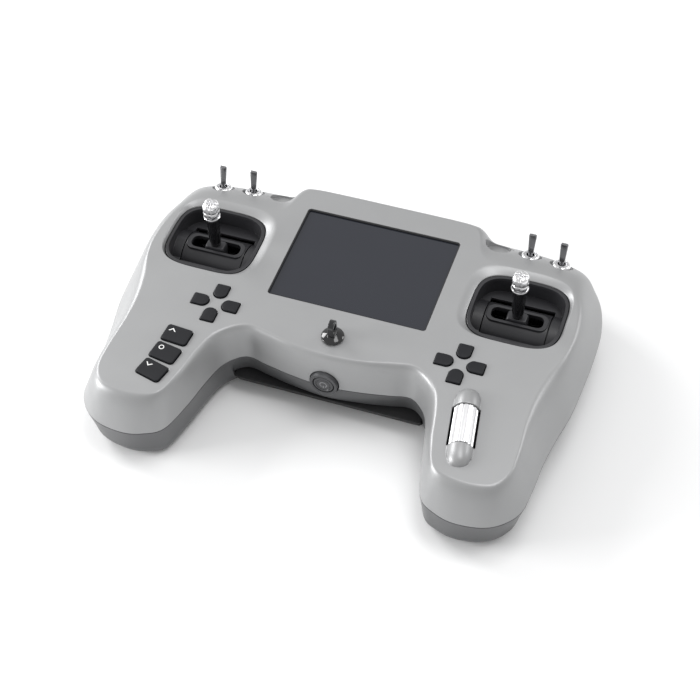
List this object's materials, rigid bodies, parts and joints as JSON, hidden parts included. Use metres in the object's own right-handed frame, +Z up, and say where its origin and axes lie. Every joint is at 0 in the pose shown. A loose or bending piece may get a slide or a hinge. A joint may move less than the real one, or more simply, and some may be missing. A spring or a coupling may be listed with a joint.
{
  "type": "radio transmitter controller",
  "caption": "Gamepad-shaped radio transmitter with built-in display, two stick gimbals, toggle switches, direction pads, grip keys and a thumb roller.",
  "frame": {"origin": "centre of the bounding box bottom, on the plane that the rubber feet rest on", "axes": "+X to the user's right, +Y away from the user towards the toggle switches, +Z up out of the top face"},
  "size_m": [0.2472, 0.1736, 0.0672],
  "materials": {
    "shell_grey": "satin warm grey moulded shell",
    "shell_dark": "satin darker grey moulded shell",
    "cover_black": "matte black",
    "glass_dark": "smooth dark slate display cover, opaque when off",
    "bezel_black": "satin charcoal black",
    "key_black": "satin dark silicone keys",
    "gloss_black": "polished black",
    "chrome": "polished chrome",
    "lever_steel": "dark bright-plated steel",
    "roller_aluminium": "bright fluted",
    "sheet_steel": "plain pressed",
    "board_green": "solder mask",
    "battery_blue": "heat-shrink film",
    "rubber": "matte"
  },
  "bodies": {
    "case": {"top_shell": "shell_grey", "bottom_shell": "shell_dark", "belly_cover": "cover_black", "screen_glass": "glass_dark", "display_panel": "sheet_steel", "display_bracket": "sheet_steel", "rf_module": "sheet_steel", "roller_axle": "sheet_steel", "belly_screw": "sheet_steel", "main_board": "board_green", "left_button_board": "board_green", "right_button_board": "board_green", "battery_pack": "battery_blue", "foot_front": "rubber", "foot_rear": "rubber", "case_screw_rear_left": "sheet_steel", "case_screw_rear_right": "sheet_steel", "case_screw_front_left": "sheet_steel", "case_screw_front_right": "sheet_steel", "left_gimbal_bezel": "bezel_black", "left_gimbal_frame": "bezel_black", "right_gimbal_bezel": "bezel_black", "right_gimbal_frame": "bezel_black", "power_ring": "key_black", "strap_hook": "gloss_black", "toggle_far_left_body": "cover_black", "toggle_far_left_nut": "chrome", "toggle_near_left_body": "cover_black", "toggle_near_left_nut": "chrome", "toggle_near_right_body": "cover_black", "toggle_near_right_nut": "chrome", "toggle_far_right_body": "cover_black", "toggle_far_right_nut": "chrome"},
    "left_gimbal_pitch": {"left_drum": "bezel_black"},
    "left_stick": {"left_stick_yoke": "bezel_black", "left_stick_post": "gloss_black", "left_stick_ring": "chrome", "left_stick_head": "chrome"},
    "right_gimbal_pitch": {"right_drum": "bezel_black"},
    "right_stick": {"right_stick_yoke": "bezel_black", "right_stick_post": "gloss_black", "right_stick_ring": "chrome", "right_stick_head": "chrome"},
    "left_pad_right_body": {"left_pad_right": "key_black"},
    "left_pad_up_body": {"left_pad_up": "key_black"},
    "left_pad_left_body": {"left_pad_left": "key_black"},
    "left_pad_down_body": {"left_pad_down": "key_black"},
    "right_pad_right_body": {"right_pad_right": "key_black"},
    "right_pad_up_body": {"right_pad_up": "key_black"},
    "right_pad_left_body": {"right_pad_left": "key_black"},
    "right_pad_down_body": {"right_pad_down": "key_black"},
    "up_key_body": {"up_key": "key_black"},
    "scan_key_body": {"scan_key": "key_black"},
    "down_key_body": {"down_key": "key_black"},
    "power_button_body": {"power_button": "key_black"},
    "roller_body": {"roller": "roller_aluminium"},
    "toggle_far_left_lever_body": {"toggle_far_left_lever": "lever_steel"},
    "toggle_near_left_lever_body": {"toggle_near_left_lever": "lever_steel"},
    "toggle_near_right_lever_body": {"toggle_near_right_lever": "lever_steel"},
    "toggle_far_right_lever_body": {"toggle_far_right_lever": "lever_steel"}
  },
  "joints": [
    {"name": "left_stick_pitch", "type": "hinge", "parent": "case", "child": "left_gimbal_pitch", "pos_m": [-0.0819, 0.03174, 0.0213], "axis": [-1, 0, 0], "range_deg": [-25, 25]},
    {"name": "left_stick_yaw", "type": "hinge", "parent": "left_gimbal_pitch", "child": "left_stick", "pos_m": [-0.0819, 0.03174, 0.0213], "axis": [0, 1, 0], "range_deg": [-25, 25], "stiffness_Nm_per_rad": 0.05},
    {"name": "right_stick_pitch", "type": "hinge", "parent": "case", "child": "right_gimbal_pitch", "pos_m": [0.0819, 0.03174, 0.0213], "axis": [-1, 0, 0], "range_deg": [-25, 25], "stiffness_Nm_per_rad": 0.05},
    {"name": "right_stick_yaw", "type": "hinge", "parent": "right_gimbal_pitch", "child": "right_stick", "pos_m": [0.0819, 0.03174, 0.0213], "axis": [0, 1, 0], "range_deg": [-25, 25], "stiffness_Nm_per_rad": 0.05},
    {"name": "left_pad_right_press", "type": "slide", "parent": "case", "child": "left_pad_right_body", "axis": [0, 0, -1], "range_m": [0, 0.0008], "stiffness_N_per_m": 200, "springref_m": -0.0005},
    {"name": "left_pad_up_press", "type": "slide", "parent": "case", "child": "left_pad_up_body", "axis": [0, 0, -1], "range_m": [0, 0.0008], "stiffness_N_per_m": 200, "springref_m": -0.0005},
    {"name": "left_pad_left_press", "type": "slide", "parent": "case", "child": "left_pad_left_body", "axis": [0, 0, -1], "range_m": [0, 0.0008], "stiffness_N_per_m": 200, "springref_m": -0.0005},
    {"name": "left_pad_down_press", "type": "slide", "parent": "case", "child": "left_pad_down_body", "axis": [0, 0, -1], "range_m": [0, 0.0008], "stiffness_N_per_m": 200, "springref_m": -0.0005},
    {"name": "right_pad_right_press", "type": "slide", "parent": "case", "child": "right_pad_right_body", "axis": [0, 0, -1], "range_m": [0, 0.0008], "stiffness_N_per_m": 200, "springref_m": -0.0005},
    {"name": "right_pad_up_press", "type": "slide", "parent": "case", "child": "right_pad_up_body", "axis": [0, 0, -1], "range_m": [0, 0.0008], "stiffness_N_per_m": 200, "springref_m": -0.0005},
    {"name": "right_pad_left_press", "type": "slide", "parent": "case", "child": "right_pad_left_body", "axis": [0, 0, -1], "range_m": [0, 0.0008], "stiffness_N_per_m": 200, "springref_m": -0.0005},
    {"name": "right_pad_down_press", "type": "slide", "parent": "case", "child": "right_pad_down_body", "axis": [0, 0, -1], "range_m": [0, 0.0008], "stiffness_N_per_m": 200, "springref_m": -0.0005},
    {"name": "up_key_press", "type": "slide", "parent": "case", "child": "up_key_body", "axis": [0, 0, -1], "range_m": [0, 0.0009], "stiffness_N_per_m": 200, "springref_m": -0.0005},
    {"name": "scan_key_press", "type": "slide", "parent": "case", "child": "scan_key_body", "axis": [0, 0, -1], "range_m": [0, 0.0009], "stiffness_N_per_m": 200, "springref_m": -0.0005},
    {"name": "down_key_press", "type": "slide", "parent": "case", "child": "down_key_body", "axis": [0, 0, -1], "range_m": [0, 0.0009], "stiffness_N_per_m": 200, "springref_m": -0.0005},
    {"name": "power_button_press", "type": "slide", "parent": "case", "child": "power_button_body", "axis": [0, 1, 0], "range_m": [0, 0.0008], "stiffness_N_per_m": 200, "springref_m": -0.0005},
    {"name": "roller_spin", "type": "hinge", "parent": "case", "child": "roller_body", "pos_m": [0.0766, -0.04656, 0.0402], "axis": [0.1564, -0.9877, 0], "continuous": true},
    {"name": "toggle_far_left_throw", "type": "hinge", "parent": "case", "child": "toggle_far_left_lever_body", "pos_m": [-0.0943, 0.0725, 0.03535], "axis": [-1, 0, 0], "range_deg": [-12, 12]},
    {"name": "toggle_near_left_throw", "type": "hinge", "parent": "case", "child": "toggle_near_left_lever_body", "pos_m": [-0.0773, 0.0742, 0.03505], "axis": [-1, 0, 0], "range_deg": [-12, 12]},
    {"name": "toggle_near_right_throw", "type": "hinge", "parent": "case", "child": "toggle_near_right_lever_body", "pos_m": [0.0773, 0.0742, 0.03505], "axis": [-1, 0, 0], "range_deg": [-12, 12]},
    {"name": "toggle_far_right_throw", "type": "hinge", "parent": "case", "child": "toggle_far_right_lever_body", "pos_m": [0.0943, 0.0725, 0.03535], "axis": [-1, 0, 0], "range_deg": [-12, 12]}
  ]
}
